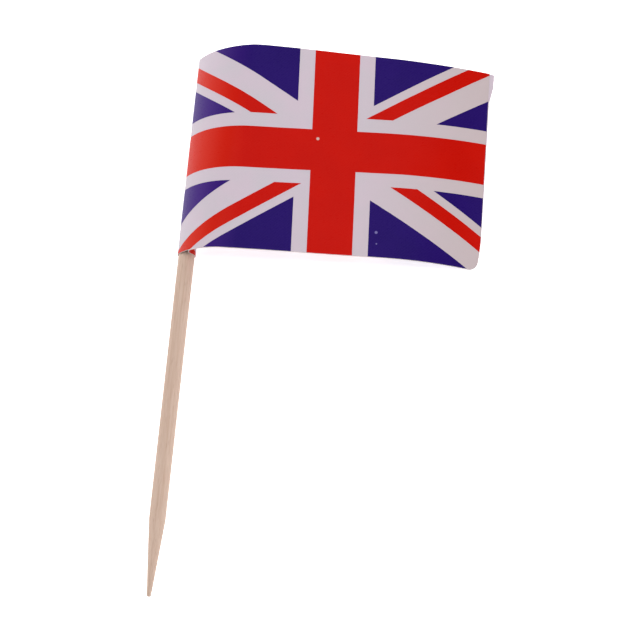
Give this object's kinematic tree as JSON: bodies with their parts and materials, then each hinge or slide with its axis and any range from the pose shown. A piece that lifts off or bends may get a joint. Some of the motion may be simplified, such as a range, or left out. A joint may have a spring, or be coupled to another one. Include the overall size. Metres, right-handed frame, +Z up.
{
  "type": "flag toothpick",
  "caption": "Round wooden pick, pointed at one end, with a printed paper flag folded round its other end and glued back to back, lying on its side.",
  "frame": {"origin": "on the stick's axis, level with the flag's lower edge, where the bare shank begins", "axes": "+Y along the stick, from its point to its wrapped end; +X from the stick towards the flag's fly edge; +Z up from the table that the pick lies on"},
  "size_m": [0.0346, 0.066, 0.0056],
  "materials": {
    "wood": "bare, turned and lightly sanded",
    "white_paper": "coated white paper, slightly glossy",
    "red_print": "red print on coated paper, glossy",
    "blue_print": "dark blue print on coated paper, glossy"
  },
  "bodies": {
    "root": {"toothpick": "wood", "flag_paper": "white_paper", "red_ink": "red_print", "blue_ink": "blue_print"}
  },
  "joints": []
}
